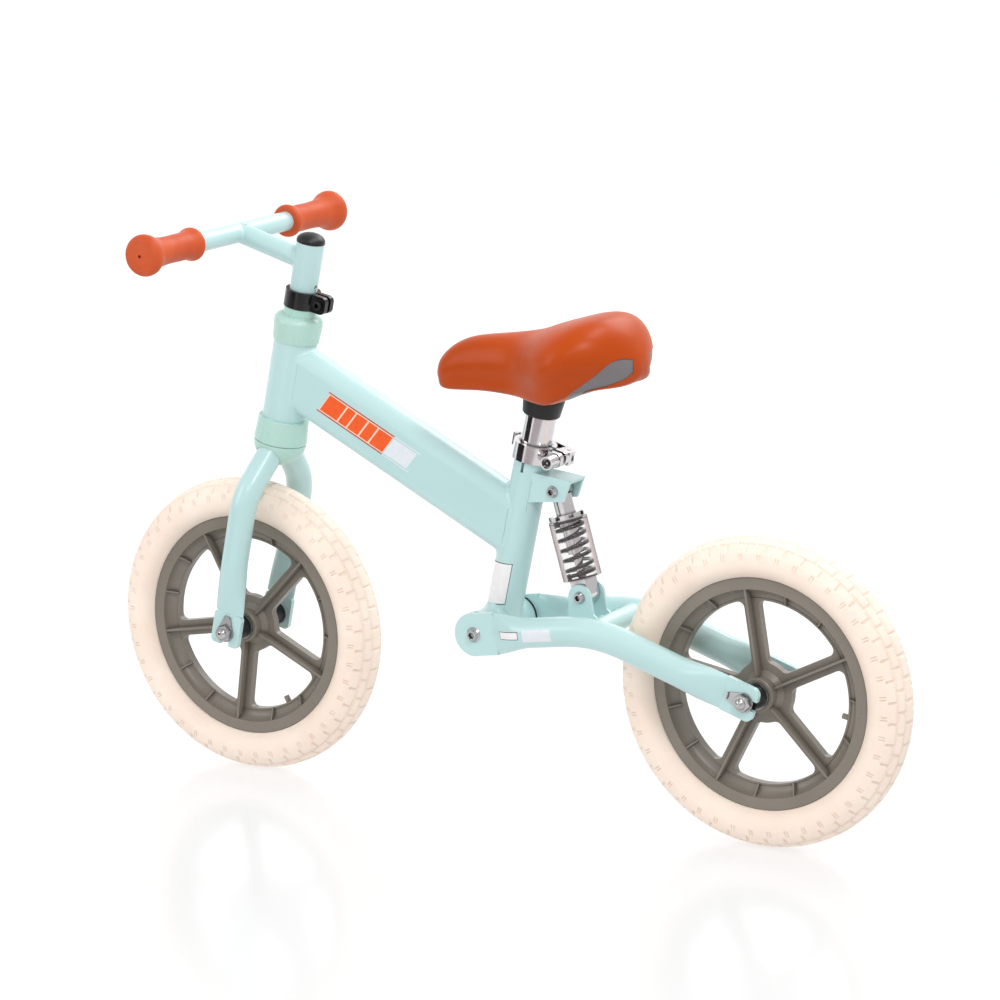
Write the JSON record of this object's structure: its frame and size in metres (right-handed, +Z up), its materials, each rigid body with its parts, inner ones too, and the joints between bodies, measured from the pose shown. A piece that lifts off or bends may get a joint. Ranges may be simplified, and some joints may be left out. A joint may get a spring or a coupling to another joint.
{
  "type": "balance bike",
  "caption": "Pedal-free child's bike with a sprung swing arm, moulded spoked wheels, foam tyres, and quick-release saddle.",
  "frame": {"origin": "on the ground, midway along and across the bike", "axes": "+X forwards, towards the steered wheel; +Y to the rider's left; +Z up"},
  "size_m": [0.854, 0.325, 0.5497],
  "materials": {
    "frame_paint": "satin pale mint paint",
    "headset_plastic": "pale green moulded plastic, slightly translucent",
    "black_plastic": "fine-grained black moulded plastic",
    "black_clamp": "gloss black enamel",
    "black_bolt": "black oxide",
    "saddle_skin": "smooth burnt orange foam skin, soft sheen",
    "pan_plastic": "fine-grained grey moulded plastic",
    "grip_rubber": "matt burnt orange rubber",
    "chrome": "polished",
    "spring_chrome": "polished, drawn wire",
    "plated_steel": "bright zinc plate",
    "bearing_steel": "ground steel",
    "clear_plastic": "clear moulded plastic sleeve",
    "tyre_foam": "cream foam, matt tread and smooth sidewall",
    "wheel_plastic": "fine-grained warm grey moulded plastic"
  },
  "bodies": {
    "frame": {"head_tube": "frame_paint", "down_tube": "frame_paint", "seat_tube": "frame_paint", "pivot_shell": "frame_paint", "shock_top_bracket": "frame_paint", "headset_upper_cover": "headset_plastic", "headset_lower_cup": "headset_plastic", "headset_races": "bearing_steel", "headset_balls": "bearing_steel", "pivot_bushes": "black_plastic", "seat_collar": "chrome", "qr_skewer": "chrome", "qr_barrel_nut": "chrome", "qr_cam_washer": "chrome", "shock_upper_bolt": "plated_steel"},
    "fork": {"fork_steerer": "bearing_steel", "fork_blade_left": "frame_paint", "fork_blade_right": "frame_paint", "fork_crown_cover": "headset_plastic", "headset_cones": "bearing_steel", "front_axle": "plated_steel", "front_axle_nuts": "plated_steel", "front_tab_washers": "plated_steel", "front_spacers": "black_plastic"},
    "bar_assembly": {"stem_tube": "frame_paint", "stem_cap": "black_plastic", "stem_neck": "frame_paint", "handlebar": "frame_paint", "grip_left": "grip_rubber", "grip_right": "grip_rubber", "stem_clamp": "black_clamp", "stem_clamp_bolt": "black_bolt"},
    "wheel_front": {"front_wheel": "wheel_plastic", "front_tyre": "tyre_foam", "front_bearings": "bearing_steel"},
    "wheel_rear": {"rear_wheel": "wheel_plastic", "rear_tyre": "tyre_foam", "rear_bearings": "bearing_steel"},
    "swing_arm": {"arm_left": "frame_paint", "arm_right": "frame_paint", "swingarm_cross_tube": "frame_paint", "shock_lower_bracket": "frame_paint", "pivot_axle": "bearing_steel", "pivot_bolts": "plated_steel", "shock_lower_bolt": "plated_steel", "rear_axle": "plated_steel", "rear_axle_nuts": "plated_steel", "rear_tab_washers": "plated_steel", "rear_spacers": "black_plastic"},
    "shock_upper": {"shock_body": "chrome", "shock_adjuster": "chrome", "shock_cover": "clear_plastic", "shock_spring": "spring_chrome"},
    "shock_lower": {"shock_rod": "chrome"},
    "seat": {"saddle_pad": "saddle_skin", "saddle_base": "pan_plastic", "saddle_socket": "black_plastic", "seat_post": "chrome", "saddle_screw": "plated_steel"},
    "quick_release": {"qr_lever": "chrome"}
  },
  "joints": [
    {"name": "steering", "type": "hinge", "parent": "frame", "child": "fork", "pos_m": [0.282, 0, 0.145], "axis": [-0.2113, 0, 0.9774], "continuous": true},
    {"name": "handlebar_height", "type": "slide", "parent": "fork", "child": "bar_assembly", "axis": [-0.2113, 0, 0.9774], "range_m": [0, 0.03]},
    {"name": "front_wheel_spin", "type": "hinge", "parent": "fork", "child": "wheel_front", "pos_m": [0.282, 0, 0.145], "axis": [0, 1, 0], "continuous": true},
    {"name": "rear_wheel_spin", "type": "hinge", "parent": "swing_arm", "child": "wheel_rear", "pos_m": [-0.282, 0, 0.145], "axis": [0, 1, 0], "continuous": true},
    {"name": "swing_arm_pivot", "type": "hinge", "parent": "frame", "child": "swing_arm", "pos_m": [0.001, 0, 0.1748], "axis": [0, 1, 0], "range_deg": [0, 5], "stiffness_Nm_per_rad": 400, "springref_deg": -1.72},
    {"name": "shock_tilt", "type": "hinge", "parent": "frame", "child": "shock_upper", "pos_m": [-0.0696, 0, 0.3121], "axis": [0, 1, 0], "range_deg": [-1, 0]},
    {"name": "shock_travel", "type": "slide", "parent": "shock_upper", "child": "shock_lower", "axis": [0.2662, 0, 0.9639], "range_m": [0, 0.0095], "deforming": ["shock_spring"]},
    {"name": "seat_height", "type": "slide", "parent": "frame", "child": "seat", "axis": [-0.226, 0, 0.9741], "range_m": [-0.02, 0.08]},
    {"name": "lever_swing", "type": "hinge", "parent": "frame", "child": "quick_release", "pos_m": [-0.06849, -0.0165, 0.34026], "axis": [0.226, 0, -0.9741], "range_deg": [0, 120]}
  ],
  "couplings": [
    {"joint": "shock_tilt", "follows": "swing_arm_pivot", "ratio": -0.17395},
    {"joint": "shock_travel", "follows": "swing_arm_pivot", "m_per_rad": 0.10394}
  ]
}
